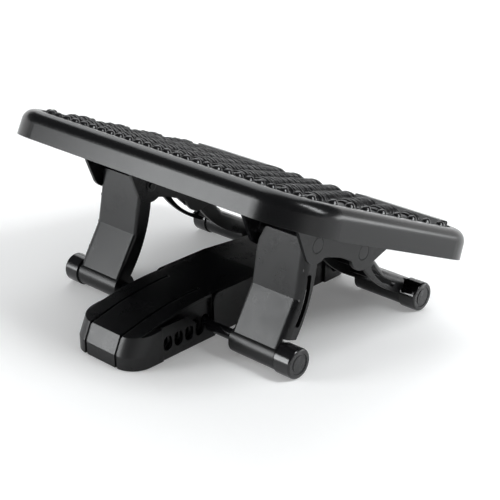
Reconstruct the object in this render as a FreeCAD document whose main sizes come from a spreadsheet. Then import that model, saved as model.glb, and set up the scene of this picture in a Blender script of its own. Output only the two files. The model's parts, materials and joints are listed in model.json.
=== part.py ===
import FreeCAD, Part
import math
import os
import re
import Sketcher

# Tilting under desk footrest.
# Origin on the floor, halfway between the two bar axes. +X is the user's right,
# +Y points away from the user (the toe side) and +Z is up. Millimetres and degrees.

# The two bars, the four legs and the tray form a four bar linkage
linkageSizes = {
    "barSpan": 209.6,
    "toeLegLength": 120.7,
    "heelLegLength": 124.2,
    "pivotSpan": 81.8,
    "trayTilt": 23.25,
    "pivotShift": 48.0,
    "pivotDrop": 16.5,
}

barAndFootSizes = {
    "barRadius": 6.15,
    "barFit": 0.05,
    "barEndChamfer": 0.8,
    "footRadius": 16.6,
    "footReach": 173.9,
    "footLength": 22.4,
    "footEdge": 2.4,
    "footBoreDepth": 15.0,
    "footRingInner": 9.0,
    "footRingOuter": 11.5,
    "footRingDepth": 0.4,
    "footNeckRadius": 14.6,
    "footNeckLength": 1.6,
    "footGap": 0.3,
}

# Leg side view: offsets are square to the line from pivot to bar, outwards positive
legSizes = {
    "legOuter": 156.5,
    "legInner": 88.9,
    "legFaceTop": 10.6,
    "legFaceRise": 3.0,
    "legBendAt": 60.0,
    "legBendFace": 1.2,
    "legFaceLow": 13.4,
    "legHubSink": 5.0,
    "legBackTop": 6.5,
    "legBackLow": 3.0,
    "legBackArc": 165.0,
    "legEdge": 9.0,
    "legInnerEdge": 4.0,
    "legCornerX": 10.0,
    "legCornerZ": 20.0,
    "legEyeRadius": 7.5,
    "legHubRadius": 15.0,
    "legStrapWall": 4.0,
    "legWebWall": 4.5,
    "legRibWall": 2.4,
    "footRelief": 3.0,
    "windowTop": 34.0,
    "windowLow": 86.0,
    "windowOffset": 1.4,
    "windowWidth": 6.6,
    "windowArc": 93.0,
}

pinSizes = {
    "pinRadius": 4.0,
    "pinFit": 0.05,
    "pinHeadRadius": 8.0,
    "pinHeadThickness": 2.2,
    "pinHeadRing": 0.5,
    "pinTail": 3.2,
    "clipThickness": 1.0,
    "clipRadius": 7.0,
    "clipGrooveDepth": 0.9,
    "clipFit": 0.1,
    "washerRadius": 8.0,
    "washerThickness": 1.8,
    "washerGap": 0.3,
}

# Bracket outline: lobes round both pivots, slanted ends and a low arch between
bracketSizes = {
    "cheekOuter": 161.0,
    "cheekWall": 4.0,
    "cheekInner": 82.5,
    "lobeRadius": 20.0,
    "lobeTangent": 50.5,
    "lobeArchAngle": 35.0,
    "archArc": 136.0,
    "bracketToeEnd": 91.0,
    "bracketHeelEnd": 84.0,
    "bracketSkirt": 1.0,
    "roofWall": 4.0,
    "roofTop": 8.0,
    "bracketScrewToe": 80.0,
    "bracketScrewHeel": 70.0,
    "bracketScrewInset": 14.0,
}

traySizes = {
    "trayWidth": 446.0,
    "trayLength": 336.0,
    "trayCorner": 63.0,
    "trayHeight": 31.0,
    "trayDraft": 3.0,
    "trayEdge": 14.0,
    "trayWall": 3.4,
    "trayRibDepth": 10.0,
    "trayRibWall": 2.0,
    "trayRibPitchX": 88.0,
    "trayRibPitchY": 66.0,
    "trayRibInset": 17.0,
    "trayBossRadius": 5.5,
    "matInset": 20.0,
    "matCorner": 43.0,
    "matThickness": 2.4,
    "matSeat": 7.0,
    "matGap": 0.3,
    "stripWidth": 22.0,
    "stripHeight": 5.0,
    "stripLength": 330.0,
    "stripInset": 4.0,
    "domeBase": 18.8,
    "domeHeight": 6.0,
    "domePitchX": 38.5,
    "domePitchY": 33.0,
    "domeColumns": 9,
    "domeRows": 3,
    "domeShift": 16.0,
}

# Base seen from the side: nose with a leaning end face, roof rising towards the user
baseSizes = {
    "floorGap": 1.0,
    "noseReach": 217.6,
    "noseHalf": 49.0,
    "noseLength": 43.0,
    "noseBreak": 15.5,
    "noseLean": 13.5,
    "noseCrown": 44.0,
    "noseCorner": 25.0,
    "fenderTip": 33.6,
    "fenderRear": 38.0,
    "tongueTip": 32.5,
    "coreHalf": 40.0,
    "lipHalf": 43.0,
    "lipWall": 3.0,
    "roofFront": 41.9,
    "roofLevel": 49.3,
    "roofLevelAt": 97.0,
    "roofArc": 381.0,
    "tailSlopeAt": 20.0,
    "tailJoin": 85.0,
    "tailRoof": 40.0,
    "coreWall": 3.0,
    "grooveAt": 23.2,
    "grooveWidth": 3.5,
    "grooveDepth": 1.6,
    "plateInner": 45.0,
    "plateOuter": 47.5,
    "plateTop": 39.0,
    "plateTopEnd": 139.6,
    "plateLow": 19.0,
    "plateLowAt": 116.0,
    "plateSill": 7.0,
    "notchPitch": 15.4,
    "notchCount": 5,
    "notchRise": 4.4,
    "railWall": 6.0,
    "railCorner": 9.0,
    "railGap": 0.3,
    "railSlit": 2.2,
    "railSlitDepth": 14.0,
    "railSill": 8.0,
    "studRadius": 2.5,
    "studFit": 0.05,
    "studHeight": 30.0,
    "studFront": 60.0,
    "studRear": 55.0,
    "tailHalf": 49.0,
    "tailReach": 125.0,
    "tailTop": 38.0,
    "tailCorner": 14.0,
    "tailWall": 3.5,
    "tailSleeve": 3.0,
    "tailEdge": 5.0,
    "tailPlay": 2.6,
    "tailRise": 1.6,
    "tailStudSide": 26.0,
    "coverWall": 3.5,
    "coverGap": 0.3,
    "padSide": 32.0,
    "padWidth": 14.0,
    "padSeat": 1.5,
    "padGap": 0.3,
    "nosePadInset": 45.6,
    "tailPadAt": 72.0,
    "bossRadius": 4.5,
    "bossSide": 27.0,
    "bossNoseInset": 29.6,
    "bossFront": 70.0,
    "bossRear": 50.0,
}

screwSizes = {
    "screwRadius": 1.5,
    "screwFit": 0.05,
    "screwHole": 1.9,
    "screwHeadRadius": 3.2,
    "screwHeadHeight": 1.5,
    "screwHeadFit": 0.4,
    "screwLength": 11.0,
}

allSizes = {}
for group in (linkageSizes, barAndFootSizes, legSizes, pinSizes, bracketSizes,
              traySizes, baseSizes, screwSizes):
    allSizes.update(group)

doc = FreeCAD.newDocument("footrest")
sheet = doc.addObject("Spreadsheet::Sheet", "sizes")
for row, (alias, number) in enumerate(allSizes.items(), start=1):
    sheet.set("A%d" % row, alias)
    sheet.set("B%d" % row, str(number))
    sheet.setAlias("B%d" % row, alias)
doc.recompute()

xAxis = FreeCAD.Vector(1, 0, 0)


# Formulas are written with the plain aliases and get the sheet's name here
def formula(text):
    return re.sub(r"[A-Za-z]\w*",
                  lambda word: "sizes." + word.group() if word.group() in allSizes else word.group(),
                  str(text))


def number(text):
    return float(sheet.evalExpression(formula(text)))


def bind(item, prop, text):
    item.setExpression(prop, formula(text))


def negated(text, side):
    return "(%s)" % text if side > 0 else "-(%s)" % text


def newBody(label):
    body = doc.addObject("PartDesign::Body", label)
    body.Label = label
    return body


def originPlane(body, role):
    return [item for item in body.Origin.OriginFeatures if item.Role == role][0]


# A sketch on one of the body's own planes, moved along the plane's normal
def planeSketch(body, name, role, offset="0"):
    sketch = body.newObject("Sketcher::SketchObject", name)
    sketch.AttachmentSupport = (originPlane(body, role), [""])
    sketch.MapMode = "FlatFace"
    if offset != "0":
        bind(sketch, "AttachmentOffset.Base.z", offset)
    return sketch


def pinPoint(sketch, geo, pos, xText, yText):
    for kind, axis, text in (("DistanceX", -2, xText), ("DistanceY", -1, yText)):
        reading = number(text)
        if abs(reading) < 1e-9:
            sketch.addConstraint(Sketcher.Constraint("PointOnObject", geo, pos, axis))
        else:
            index = sketch.addConstraint(Sketcher.Constraint(kind, -1, 1, geo, pos, reading))
            bind(sketch, "Constraints[%d]" % index, text)


# A closed outline. Each corner is (x, y) or (x, y, radius, side): with a radius, the edge
# that leaves the corner is an arc, and it bulges to the left of its way where side is 1
def outline(sketch, corners):
    first = sketch.GeometryCount
    count = len(corners)
    spots = [FreeCAD.Vector(number(c[0]), number(c[1]), 0) for c in corners]
    for i, corner in enumerate(corners):
        start = spots[i]
        end = spots[(i + 1) % count]
        if len(corner) == 2:
            sketch.addGeometry(Part.LineSegment(start, end), False)
            continue
        radius = number(corner[2])
        chord = end - start
        left = FreeCAD.Vector(-chord.y, chord.x, 0).normalize()
        rise = radius - math.sqrt(radius * radius - chord.Length * chord.Length / 4)
        middle = (start + end) * 0.5 + left * rise * corner[3]
        sketch.addGeometry(Part.Arc(start, middle, end), False)
    # An arc is stored anticlockwise, so its first point may be the outline's second
    starts = [1 if (sketch.getPoint(first + i, 1) - spots[i]).Length < 1e-6 else 2 for i in range(count)]
    for i, corner in enumerate(corners):
        following = (i + 1) % count
        sketch.addConstraint(Sketcher.Constraint("Coincident", first + i, 3 - starts[i],
                                                 first + following, starts[following]))
        pinPoint(sketch, first + i, starts[i], corner[0], corner[1])
        if len(corner) > 2:
            index = sketch.addConstraint(Sketcher.Constraint("Radius", first + i, number(corner[2])))
            bind(sketch, "Constraints[%d]" % index, corner[2])


def circle(sketch, xText, yText, radiusText):
    centre = FreeCAD.Vector(number(xText), number(yText), 0)
    radius = number(radiusText)
    geo = sketch.addGeometry(Part.Circle(centre, FreeCAD.Vector(0, 0, 1), radius), False)
    pinPoint(sketch, geo, 3, xText, yText)
    index = sketch.addConstraint(Sketcher.Constraint("Radius", geo, radius))
    bind(sketch, "Constraints[%d]" % index, radiusText)


def rectangle(sketch, x0, x1, y0, y1):
    outline(sketch, [(x0, y0), (x1, y0), (x1, y1), (x0, y1)])


# A rectangle whose four corners are quarter arcs
def roundedRectangle(sketch, halfX, halfY, radius):
    inX = "%s-(%s)" % (halfX, radius)
    inY = "%s-(%s)" % (halfY, radius)
    outline(sketch, [
        ("-(%s)" % inX, "-(%s)" % halfY), (inX, "-(%s)" % halfY, radius, -1),
        (halfX, "-(%s)" % inY), (halfX, inY, radius, -1),
        (inX, halfY), ("-(%s)" % inX, halfY, radius, -1),
        ("-(%s)" % halfX, inY), ("-(%s)" % halfX, "-(%s)" % inY, radius, -1)])


# A round outline of four quarter arcs, with no seam where another face may touch it
def quarteredCircle(sketch, xText, yText, radiusText):
    reach = "(%s)*sin(45)" % radiusText
    corners = []
    for xSign, ySign in (("-", "-"), ("+", "-"), ("+", "+"), ("-", "+")):
        corners.append(("%s%s%s" % (xText, xSign, reach), "%s%s%s" % (yText, ySign, reach), radiusText, -1))
    outline(sketch, corners)


# A slot with round ends of one radius, whose straight part runs halfX or halfY either way
def roundEndedSlot(sketch, xText, yText, halfX, halfY, radius):
    wide = "(%s+%s)" % (halfX, radius)
    tall = "(%s+%s)" % (halfY, radius)
    corners = []
    for xSign, ySign, turnsUp in (("-", "-", 1), ("+", "-", 0), ("+", "+", 1), ("-", "+", 0)):
        side = ("%s%s%s" % (xText, xSign, wide), "%s%s%s" % (yText, ySign, halfY))
        end = ("%s%s%s" % (xText, xSign, halfX), "%s%s%s" % (yText, ySign, tall))
        corners.append((side if turnsUp else end) + (radius, -1))
        corners.append(end if turnsUp else side)
    kept = []
    for i, corner in enumerate(corners):
        after = corners[(i + 1) % len(corners)]
        if math.hypot(number(after[0]) - number(corner[0]), number(after[1]) - number(corner[1])) > 1e-9:
            kept.append(corner)
    outline(sketch, kept)


def extrude(body, kind, sketch, lengthText, sides="One side", reverse=False):
    feature = body.newObject("PartDesign::" + kind, sketch.Name + kind)
    feature.Profile = sketch
    feature.SideType = sides
    feature.Reversed = reverse
    feature.Length = number(lengthText)
    bind(feature, "Length", lengthText)
    doc.recompute()
    return feature


# Material between two planes square to X, on the right side or mirrored to the left
def sideSketch(body, name, side, inner, outer):
    return planeSketch(body, name, "YZ_Plane", inner if side > 0 else "-(%s)" % outer)


def sidePad(body, name, side, inner, outer, draw):
    sketch = sideSketch(body, name, side, inner, outer)
    draw(sketch)
    return extrude(body, "Pad", sketch, "(%s)-(%s)" % (outer, inner))


def sidePocket(body, name, side, inner, outer, draw):
    sketch = sideSketch(body, name, side, inner, outer)
    draw(sketch)
    return extrude(body, "Pocket", sketch, "(%s)-(%s)" % (outer, inner), reverse=True)


def edgesWhere(feature, test):
    return ["Edge%d" % (i + 1) for i, edge in enumerate(feature.Shape.Edges) if test(edge)]


def edgeBlend(body, kind, base, edges, sizeText, name):
    feature = body.newObject("PartDesign::" + kind, name)
    feature.Base = (base, edges)
    bind(feature, "Radius" if kind == "Fillet" else "Size", sizeText)
    doc.recompute()
    return feature


# A piece turned about the X axis: corners are (x, radius)
def turned(body, name, corners):
    sketch = planeSketch(body, name, "XY_Plane")
    outline(sketch, corners)
    feature = body.newObject("PartDesign::Revolution", name + "Turned")
    feature.Profile = sketch
    feature.ReferenceAxis = (sketch, ["H_Axis"])
    feature.Angle = 360
    doc.recompute()
    return feature


# Linkage at rest: the toe pivot lies on two circles, about the toe bar and about
# the heel bar moved by the pivot line
toeBar = FreeCAD.Vector(0, number("barSpan/2"), number("footRadius"))
heelBar = FreeCAD.Vector(0, number("-barSpan/2"), number("footRadius"))
pivotLine = FreeCAD.Vector(0, number("pivotSpan*cos(trayTilt)"), number("pivotSpan*sin(trayTilt)"))
shiftedHeel = heelBar + pivotLine
between = shiftedHeel - toeBar
toeReach = number("toeLegLength")
heelReach = number("heelLegLength")
along = (toeReach ** 2 - heelReach ** 2 + between.Length ** 2) / (2 * between.Length)
across = math.sqrt(toeReach ** 2 - along ** 2)
unit = FreeCAD.Vector(between).normalize()
toePivot = toeBar + unit * along + FreeCAD.Vector(0, unit.z, -unit.y) * across
heelPivot = toePivot - pivotLine
trayTurn = FreeCAD.Rotation(xAxis, number("trayTilt"))
trayCentre = toePivot - trayTurn.multVec(FreeCAD.Vector(0, number("pivotShift"), -number("pivotDrop")))
trayPlace = FreeCAD.Placement(trayCentre, trayTurn)

toePivotY = "pivotShift"
heelPivotY = "(pivotShift-pivotSpan)"
hubEnd = "(footReach-footLength-footGap)"
barHeight = "footRadius"


def barOutline(length):
    return [("-(%s)" % length, "0"), ("-(%s)" % length, "barRadius-barEndChamfer"),
            ("-(%s)+barEndChamfer" % length, "barRadius"), ("%s-barEndChamfer" % length, "barRadius"),
            (length, "barRadius-barEndChamfer"), (length, "0")]


def makeBar(label, axis):
    body = newBody(label)
    turned(body, label + "Outline", barOutline("(footReach-footLength+footBoreDepth-barFit)"))
    body.Placement.Base = axis
    return body


# Rubber foot: rounded rim, turned ring in the end face, neck towards the leg, blind bore
def makeFoot(label, axis, side):
    body = newBody(label)
    inner = "(footReach-footLength)"
    corners = [
        (inner, "barRadius+barFit"), (inner, "footNeckRadius"),
        ("%s+footNeckLength" % inner, "footNeckRadius"), ("%s+footNeckLength" % inner, "footRadius"),
        ("footReach-footEdge", "footRadius", "footEdge", 1), ("footReach", "footRadius-footEdge"),
        ("footReach", "footRingOuter"), ("footReach-footRingDepth", "footRingOuter"),
        ("footReach-footRingDepth", "footRingInner"), ("footReach", "footRingInner"),
        ("footReach", "0"), ("%s+footBoreDepth" % inner, "0"),
        ("%s+footBoreDepth" % inner, "barRadius+barFit")]
    turned(body, label + "Outline", corners)
    turn = FreeCAD.Rotation(FreeCAD.Vector(0, 0, 1), 0 if side > 0 else 180)
    body.Placement = FreeCAD.Placement(axis, turn)
    return body


# Leg in its own frame: the pivot at the origin, the bar straight below it.
# outward is 1 where the leg's face looks to +Y, and side is 1 on the user's right
def makeLeg(label, length, outward, side, pivot, bar):
    body = newBody(label)
    footSide = "-(%s+legHubRadius*2)" % length
    bladeEnd = "-(%s-legHubSink)" % length

    def across(text):
        return negated(text, outward)

    blade = [(across("legFaceTop"), "legFaceRise"), (across("legBendFace"), "-legBendAt"),
             (across("legFaceLow"), bladeEnd),
             (across("-legBackLow"), bladeEnd, "legBackArc", outward),
             (across("-legBackTop"), "0"), (across("-legBackTop/2"), "legFaceRise")]
    sidePad(body, label + "Blade", side, "legInner", "legOuter", lambda s: outline(s, blade))

    def roundFaceEdges(plane, size, name):
        base = body.Tip
        place = number(plane) * side
        edges = edgesWhere(base, lambda e: abs(e.BoundBox.XMin - place) < 1e-4
                           and e.BoundBox.XLength < 1e-4 and e.Length > number("legBendAt") * 0.8
                           and "Line" in str(e.Curve) and e.CenterOfMass.y * outward > 0)
        edgeBlend(body, "Fillet", base, edges, size, label + name)

    roundFaceEdges("legOuter", "legEdge", "OuterEdge")
    roundFaceEdges("legInner", "legInnerEdge", "InnerEdge")
    corner = planeSketch(body, label + "Corner", "XZ_Plane", "legFaceLow*2")
    outline(corner, [(negated("legInner-legCornerX", side), "legFaceRise*2"),
                     (negated("legInner-legCornerX", side), "legFaceRise-legCornerZ-legCornerZ"),
                     (negated("legInner+legCornerX*1.1", side), "legFaceRise+legCornerZ*0.1")])
    extrude(body, "Pocket", corner, "legFaceLow*4")
    channel = [(across("legFaceTop-legStrapWall"), "legFaceRise"),
               (across("legBendFace-legStrapWall"), "-legBendAt"),
               (across("legFaceLow-legStrapWall"), bladeEnd),
               (across("legFaceLow-legStrapWall"), footSide), (across("-legHubRadius*2"), footSide),
               (across("-legHubRadius*2"), "legHubRadius"),
               (across("legFaceTop-legStrapWall"), "legHubRadius")]
    sidePocket(body, label + "Channel", side, "legInner+legWebWall", "legOuter-legWebWall",
               lambda s: outline(s, channel))
    ribs = [("(legBendAt-legFaceRise)/2", "(legFaceTop+legBendFace)/2"),
            ("legBendAt", "legBendFace"), ("(legBendAt+%s)/2" % length, "(legFaceLow+legBendFace)/2")]
    for i, (level, face) in enumerate(ribs):
        low = "-(%s)-legRibWall/2" % level
        high = "-(%s)+legRibWall/2" % level
        front = across("%s-legStrapWall/2" % face)
        back = across("-legBackTop")
        sidePad(body, "%sRib%d" % (label, i), side, "legInner+legWebWall/2", "legOuter-legWebWall/2",
                lambda s: outline(s, [(front, low), (front, high), (back, high), (back, low)]))
    sidePad(body, label + "Eye", side, "legInner", "legOuter",
            lambda s: circle(s, "0", "0", "legEyeRadius"))
    sidePad(body, label + "Hub", side, "legInner", hubEnd,
            lambda s: quarteredCircle(s, "0", "-%s" % length, "legHubRadius"))
    reliefTop = "-(%s-footRadius-footRelief)" % length
    sidePocket(body, label + "FootRelief", side, hubEnd, "footReach",
               lambda s: rectangle(s, "-legHubRadius*2", "legHubRadius*2", footSide, reliefTop))
    near = "(-windowOffset)"
    far = "(-windowOffset-windowWidth)"
    window = [(across(near), "-windowTop", "windowArc-windowWidth/2", -outward),
              (across(near), "-windowLow", "windowWidth*0.55", outward),
              (across(far), "-windowLow", "windowArc+windowWidth/2", outward),
              (across(far), "-windowTop", "windowWidth*0.55", outward)]
    sidePocket(body, label + "Window", side, "legOuter-legWebWall", "legOuter+legEdge",
               lambda s: outline(s, window))
    sidePocket(body, label + "PinBore", side, "legInner-legEdge", "legOuter+legEdge",
               lambda s: circle(s, "0", "0", "pinRadius+pinFit"))
    sidePocket(body, label + "BarBore", side, "legInner-legEdge", "footReach",
               lambda s: circle(s, "0", "-%s" % length, "barRadius+barFit"))
    reach = bar - pivot
    lean = math.degrees(math.atan2(reach.y, -reach.z))
    body.Placement = FreeCAD.Placement(pivot, FreeCAD.Rotation(xAxis, lean))
    return body


# Cheek outline shared by both sides of a bracket, in the tray's frame
def cheekCorners():
    low = "(-pivotDrop)"
    return [
        ("-bracketHeelEnd", "roofTop"), ("-bracketHeelEnd", "-bracketSkirt"),
        ("%s-lobeRadius*cos(lobeTangent)" % heelPivotY, "%s-lobeRadius*sin(lobeTangent)" % low,
         "lobeRadius", -1),
        ("%s+lobeRadius*cos(lobeArchAngle)" % heelPivotY, "%s-lobeRadius*sin(lobeArchAngle)" % low,
         "archArc", 1),
        ("%s-lobeRadius*cos(lobeArchAngle)" % toePivotY, "%s-lobeRadius*sin(lobeArchAngle)" % low,
         "lobeRadius", -1),
        ("%s+lobeRadius*cos(lobeTangent)" % toePivotY, "%s-lobeRadius*sin(lobeTangent)" % low),
        ("bracketToeEnd", "-bracketSkirt"), ("bracketToeEnd", "roofTop")]


bracketScrewSpots = [(x, y) for x in ("cheekInner+bracketScrewInset", "cheekOuter-bracketScrewInset")
                     for y in ("bracketScrewToe", "-bracketScrewHeel")]


def makeBracket(label, side):
    body = newBody(label)
    sidePad(body, label + "OuterCheek", side, "cheekOuter-cheekWall", "cheekOuter",
            lambda s: outline(s, cheekCorners()))
    roof = [("-bracketHeelEnd", "roofTop-roofWall"), ("bracketToeEnd", "roofTop-roofWall"),
            ("bracketToeEnd", "roofTop"), ("-bracketHeelEnd", "roofTop")]
    sidePad(body, label + "Roof", side, "cheekInner", "cheekOuter", lambda s: outline(s, roof))
    sidePad(body, label + "InnerCheek", side, "cheekInner", "cheekInner+cheekWall",
            lambda s: outline(s, cheekCorners()))

    def pivotHoles(radius):
        def draw(sketch):
            circle(sketch, toePivotY, "-pivotDrop", radius)
            circle(sketch, heelPivotY, "-pivotDrop", radius)
        return draw

    sidePocket(body, label + "PinHoles", side, "cheekInner-cheekWall", "cheekOuter+cheekWall",
               pivotHoles("pinRadius+pinFit"))
    sidePocket(body, label + "HeadSeats", side, "cheekOuter-pinHeadThickness", "cheekOuter+cheekWall",
               pivotHoles("pinHeadRadius+pinHeadRing"))
    holes = planeSketch(body, label + "ScrewHoles", "XY_Plane", "roofTop-roofWall*2")
    for x, y in bracketScrewSpots:
        circle(holes, negated(x, side), y, "screwHole")
    extrude(body, "Pocket", holes, "roofWall*3", reverse=True)
    body.Placement = trayPlace
    return body


# Pivot pin: flush round head outside, groove for the clip inside
def makePin(label, pivot, side):
    body = newBody(label)
    headInner = "(cheekOuter-pinHeadThickness)"
    grooveOuter = "(cheekInner-clipFit)"
    grooveInner = "(cheekInner-clipFit-clipThickness)"
    corners = [("cheekInner-pinTail", "0"), ("cheekInner-pinTail", "pinRadius"),
               (grooveInner, "pinRadius"), (grooveInner, "pinRadius-clipGrooveDepth"),
               (grooveOuter, "pinRadius-clipGrooveDepth"), (grooveOuter, "pinRadius"),
               (headInner, "pinRadius"), (headInner, "pinHeadRadius"),
               ("cheekOuter", "pinHeadRadius"), ("cheekOuter", "0")]
    turned(body, label + "Outline", corners)
    turn = FreeCAD.Rotation(FreeCAD.Vector(0, 0, 1), 0 if side > 0 else 180)
    body.Placement = FreeCAD.Placement(pivot, turn)
    return body


# Loose rings that all four pivots share, as one group
def makeRings(label, outerRadius, innerRadius, start, thickness):
    rings = []
    for i, (pivot, side) in enumerate([(p, s) for p in (toePivot, heelPivot) for s in (1, -1)]):
        disc = doc.addObject("Part::Cylinder", "%sDisc%d" % (label, i))
        hole = doc.addObject("Part::Cylinder", "%sHole%d" % (label, i))
        for solid, radius in ((disc, outerRadius), (hole, innerRadius)):
            bind(solid, "Radius", radius)
            bind(solid, "Height", thickness)
            first = number(start) if side > 0 else -number(start) - number(thickness)
            solid.Placement = FreeCAD.Placement(pivot + xAxis * first,
                                                FreeCAD.Rotation(FreeCAD.Vector(0, 1, 0), 90))
        ring = doc.addObject("Part::Cut", "%sRing%d" % (label, i))
        ring.Base = disc
        ring.Tool = hole
        rings.append(ring)
    return makeGroup(label, rings)


def makeGroup(label, members):
    group = doc.addObject("Part::Compound", label)
    group.Label = label
    group.Links = members
    doc.recompute()
    return group


# One pan head screw per spot: head below, shank upwards
def makeScrews(label, spots, headLevel):
    screws = []
    for i, (x, y) in enumerate(spots):
        head = doc.addObject("Part::Cylinder", "%sHead%d" % (label, i))
        bind(head, "Radius", "screwHeadRadius")
        bind(head, "Height", "screwHeadHeight")
        bind(head, "Placement.Base.z", headLevel)
        shank = doc.addObject("Part::Cylinder", "%sShank%d" % (label, i))
        bind(shank, "Radius", "screwRadius")
        bind(shank, "Height", "screwLength+screwHeadHeight")
        bind(shank, "Placement.Base.z", headLevel)
        for solid in (head, shank):
            bind(solid, "Placement.Base.x", x)
            bind(solid, "Placement.Base.y", y)
        screw = doc.addObject("Part::Fuse", "%sScrew%d" % (label, i))
        screw.Base = head
        screw.Tool = shank
        screws.append(screw)
    return makeGroup(label, screws)


bothSideSpots = [(negated(x, side), y) for side in (1, -1) for x, y in bracketScrewSpots]


# Tray: drafted rounded shell with a rolled edge, open below, ribs and screw bosses inside
def makeTray():
    body = newBody("foot_tray")
    plan = planeSketch(body, "trayPlan", "XY_Plane")
    roundedRectangle(plan, "trayWidth/2", "trayLength/2", "trayCorner")
    block = extrude(body, "Pad", plan, "trayHeight")
    bind(block, "TaperAngle", "-trayDraft")
    doc.recompute()
    top = number("trayHeight")
    edges = edgesWhere(block, lambda e: abs(e.BoundBox.ZMin - top) < 1e-4)
    edgeBlend(body, "Fillet", block, edges, "trayEdge", "trayRolledEdge")
    # The cavity narrows in steps that follow the rolled edge one wall further in
    curve = "(trayEdge-trayWall)"
    leaning = "trayWall+(trayHeight-trayEdge)*tan(trayDraft)"
    sections = []
    for level, inset in (("0", "trayWall"), ("trayHeight-trayEdge", leaning),
                         ("trayHeight-trayEdge+%s*sin(45)" % curve,
                          "%s+%s*(1-cos(45))" % (leaning, curve)),
                         ("trayHeight-trayWall", "%s+%s" % (leaning, curve))):
        section = planeSketch(body, "trayCavity%d" % len(sections), "XY_Plane", level)
        roundedRectangle(section, "(trayWidth/2-(%s))" % inset, "(trayLength/2-(%s))" % inset,
                         "trayCorner-(%s)" % inset)
        sections.append(section)
    cavity = body.newObject("PartDesign::SubtractiveLoft", "trayCavity")
    cavity.Profile = sections[0]
    cavity.Sections = sections[1:]
    cavity.Ruled = True
    doc.recompute()
    floorLevel = "trayHeight-matSeat-trayWall"
    recess = planeSketch(body, "trayRecess", "XY_Plane", floorLevel)
    roundedRectangle(recess, "(trayWidth/2-matInset+matGap+trayWall)",
                     "(trayLength/2-matInset+matGap+trayWall)", "matCorner+matGap+trayWall")
    extrude(body, "Pad", recess, "matSeat+trayWall/2")
    ribLevel = floorLevel + "-trayRibDepth"
    half = "trayRibWall/2"
    for i in (-2, -1, 0, 1, 2):
        rib = planeSketch(body, "trayCrossRib%d" % (i + 2), "XY_Plane", ribLevel)
        rectangle(rib, "trayRibPitchX*%d-%s" % (i, half), "trayRibPitchX*%d+%s" % (i, half),
                  "trayRibInset-trayLength/2", "trayLength/2-trayRibInset")
        extrude(body, "Pad", rib, "trayRibDepth+trayWall/4")
    for i in (-1, 0, 1):
        rib = planeSketch(body, "trayLongRib%d" % (i + 1), "XY_Plane", ribLevel)
        rectangle(rib, "trayRibInset-trayWidth/2", "trayWidth/2-trayRibInset",
                  "trayRibPitchY*%d-%s" % (i, half), "trayRibPitchY*%d+%s" % (i, half))
        extrude(body, "Pad", rib, "trayRibDepth+trayWall/4")
    bosses = planeSketch(body, "trayBosses", "XY_Plane", "roofTop")
    for x, y in bothSideSpots:
        circle(bosses, x, y, "trayBossRadius")
    extrude(body, "Pad", bosses, floorLevel + "+trayWall/4-roofTop")
    pilots = planeSketch(body, "trayPilots", "XY_Plane", "roofTop")
    for x, y in bothSideSpots:
        circle(pilots, x, y, "screwRadius+screwFit")
    extrude(body, "Pocket", pilots, "screwLength", reverse=True)
    seat = planeSketch(body, "traySeat", "XY_Plane", "trayHeight-matSeat")
    roundedRectangle(seat, "(trayWidth/2-matInset+matGap)", "(trayLength/2-matInset+matGap)",
                     "matCorner+matGap")
    extrude(body, "Pocket", seat, "matSeat*2", reverse=True)
    body.Placement = trayPlace
    return body


# Mat: soft plate with a plain strip at the heel edge and rows of domes
def makeMat():
    body = newBody("massage_mat")
    plan = planeSketch(body, "matPlan", "XY_Plane", "trayHeight-matSeat")
    roundedRectangle(plan, "(trayWidth/2-matInset)", "(trayLength/2-matInset)", "matCorner")
    extrude(body, "Pad", plan, "matThickness")
    top = "(trayHeight-matSeat+matThickness)"
    heelEdge = "(matInset-trayLength/2)"
    strip = planeSketch(body, "matStrip", "XY_Plane", top + "-matThickness/2")
    rectangle(strip, "-stripLength/2", "stripLength/2", heelEdge + "+stripInset",
              heelEdge + "+stripInset+stripWidth")
    extrude(body, "Pad", strip, "stripHeight+matThickness/2")
    # Two nets of domes, set off by half a pitch both ways
    for net, columns, rows in (("Even", "domeColumns", "domeRows"), ("Odd", "(domeColumns+1)", "(domeRows+1)")):
        dome = planeSketch(body, "matDome" + net, "YZ_Plane", "-domePitchX*(%s-1)/2" % columns)
        bind(dome, "AttachmentOffset.Base.x", "domeShift-domePitchY*(%s-1)" % rows)
        outline(dome, [("0", top + "-matThickness/2"), ("domeBase", top + "-matThickness/2"),
                       ("domeBase", top, "(domeBase^2+domeHeight^2)/(2*domeHeight)", -1),
                       ("0", top + "+domeHeight")])
        revolved = body.newObject("PartDesign::Revolution", "matDomeTurned" + net)
        revolved.Profile = dome
        revolved.ReferenceAxis = (dome, ["V_Axis"])
        revolved.Angle = 360
        doc.recompute()
        grid = body.newObject("PartDesign::MultiTransform", "matDomes" + net)
        patterns = []
        for axis, pitch, count in (("X_Axis", "domePitchX", columns), ("Y_Axis", "domePitchY*2", rows)):
            pattern = body.newObject("PartDesign::LinearPattern", "matDomes" + net + axis[0])
            pattern.Direction = (originPlane(body, axis), [""])
            bind(pattern, "Length", "%s*(%s-1)" % (pitch, count))
            bind(pattern, "Occurrences", count)
            patterns.append(pattern)
        grid.Originals = [revolved]
        grid.Transformations = patterns
        body.Tip = grid
        doc.recompute()
    body.Placement = trayPlace
    return body


noseRear = "noseReach-noseLength"
coverTop = "(floorGap+coverWall)"
bossNose = "(noseReach-bossNoseInset)"


def roofLine(drop):
    return [(noseRear, "roofFront-(%s)" % drop, "roofArc", -1),
            ("roofLevelAt", "roofLevel-(%s)" % drop), ("tailSlopeAt", "roofLevel-(%s)" % drop)]


def coverScrewSpots():
    return [(negated("bossSide", side), y) for side in (1, -1) for y in (bossNose, "bossFront", "-bossRear")]


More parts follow.
